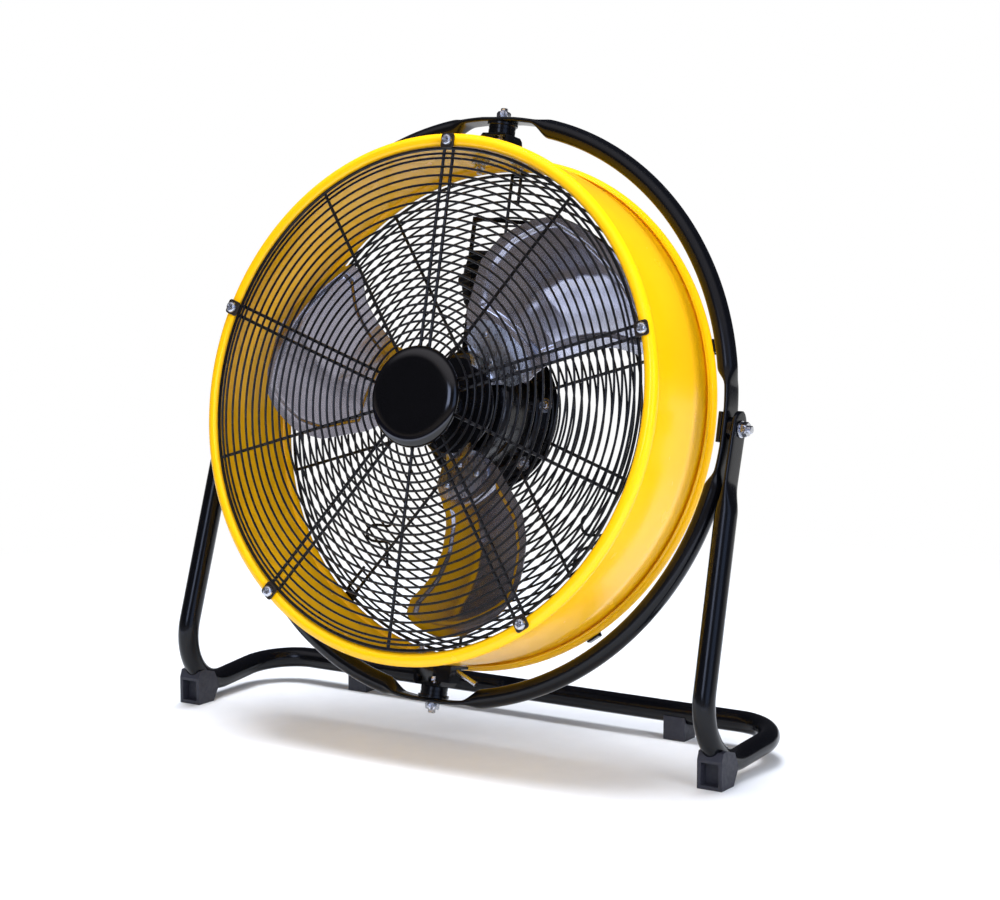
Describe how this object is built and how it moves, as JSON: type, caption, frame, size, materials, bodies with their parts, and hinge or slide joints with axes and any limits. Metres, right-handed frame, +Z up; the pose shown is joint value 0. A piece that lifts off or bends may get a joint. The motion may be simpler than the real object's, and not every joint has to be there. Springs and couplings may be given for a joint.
{
  "type": "drum fan",
  "caption": "Round drum fan with wire guards and sheet blades, swivelling in a gimbal ring that tilts in a bent-tube floor stand.",
  "frame": {"origin": "on the floor, below the middle of the whole fan's bounding box", "axes": "+Z up, -Y the way the fan blows, +X to the right seen from the front, along the tilt axis"},
  "size_m": [0.6744, 0.277, 0.6502],
  "materials": {
    "yellow_paint": "glossy powder coat",
    "black_paint": "glossy powder coat",
    "guard_wire": "glossy coated welded wire",
    "motor_paint": "satin black enamel",
    "foot_rubber": "matte moulded rubber",
    "zinc_fastener": "bright zinc plating",
    "bright_steel": "turned steel",
    "blade_sheet": "polished pressed sheet",
    "hub_sheet": "polished pressed sheet",
    "winding": "laminated core with enamelled copper wire",
    "cap_plastic": "moulded gloss black",
    "box_plastic": "moulded satin black"
  },
  "bodies": {
    "stand": {"stand_frame": "black_paint", "front_foot_right": "foot_rubber", "front_foot_left": "foot_rubber", "rear_foot_right": "foot_rubber", "rear_foot_left": "foot_rubber", "tilt_nut_right": "zinc_fastener", "tilt_nut_left": "zinc_fastener", "tilt_spacer_right": "black_paint", "tilt_spacer_left": "black_paint"},
    "ring": {"gimbal_ring": "black_paint", "tilt_bolt_right": "zinc_fastener", "tilt_bolt_left": "zinc_fastener", "upper_swivel_spool": "black_paint", "lower_swivel_spool": "black_paint", "upper_swivel_bolt": "zinc_fastener", "lower_swivel_bolt": "zinc_fastener", "upper_swivel_nut": "zinc_fastener", "lower_swivel_nut": "zinc_fastener"},
    "drum": {"drum_shell": "yellow_paint", "front_guard": "guard_wire", "rear_guard": "guard_wire", "guard_cap": "cap_plastic", "front_clip_1": "black_paint", "front_clip_2": "black_paint", "front_clip_3": "black_paint", "front_clip_4": "black_paint", "front_clip_5": "black_paint", "front_clip_screw_1": "zinc_fastener", "front_clip_screw_2": "zinc_fastener", "front_clip_screw_3": "zinc_fastener", "front_clip_screw_4": "zinc_fastener", "front_clip_screw_5": "zinc_fastener", "rear_clip_1": "black_paint", "rear_clip_2": "black_paint", "rear_clip_3": "black_paint", "rear_clip_4": "black_paint", "rear_clip_5": "black_paint", "motor_housing": "motor_paint", "motor_cover": "motor_paint", "motor_stator": "winding", "bearing_front": "bright_steel", "bearing_rear": "bright_steel", "motor_mount_plate": "black_paint", "mount_screw_1": "zinc_fastener", "mount_screw_2": "zinc_fastener", "mount_screw_3": "zinc_fastener", "mount_screw_4": "zinc_fastener", "upper_swivel_bracket": "black_paint", "lower_swivel_bracket": "black_paint", "swivel_lock_pin": "zinc_fastener", "switch_box": "box_plastic", "cable_gland": "zinc_fastener"},
    "rotor": {"motor_shaft": "bright_steel", "motor_rotor": "bright_steel", "fan_spider": "hub_sheet", "blade_1": "blade_sheet", "blade_2": "blade_sheet", "blade_3": "blade_sheet", "fan_hub_nut": "zinc_fastener"},
    "knob": {"speed_knob": "cap_plastic"}
  },
  "joints": [
    {"name": "ring_tilt", "type": "hinge", "parent": "stand", "child": "ring", "pos_m": [0, 0.0119, 0.341], "axis": [-1, 0, 0], "range_deg": [-22, 77]},
    {"name": "drum_swivel", "type": "hinge", "parent": "ring", "child": "drum", "pos_m": [0, 0.0119, 0.341], "axis": [0, 0.2198, 0.9755], "range_deg": [-180, 180]},
    {"name": "rotor_spin", "type": "hinge", "parent": "drum", "child": "rotor", "pos_m": [0, 0.0119, 0.341], "axis": [0, -0.9755, 0.2198], "continuous": true},
    {"name": "speed_knob_turn", "type": "hinge", "parent": "drum", "child": "knob", "pos_m": [-0.008, 0.12138, 0.46291], "axis": [0, 0.9755, -0.2198], "range_deg": [0, 135]}
  ]
}
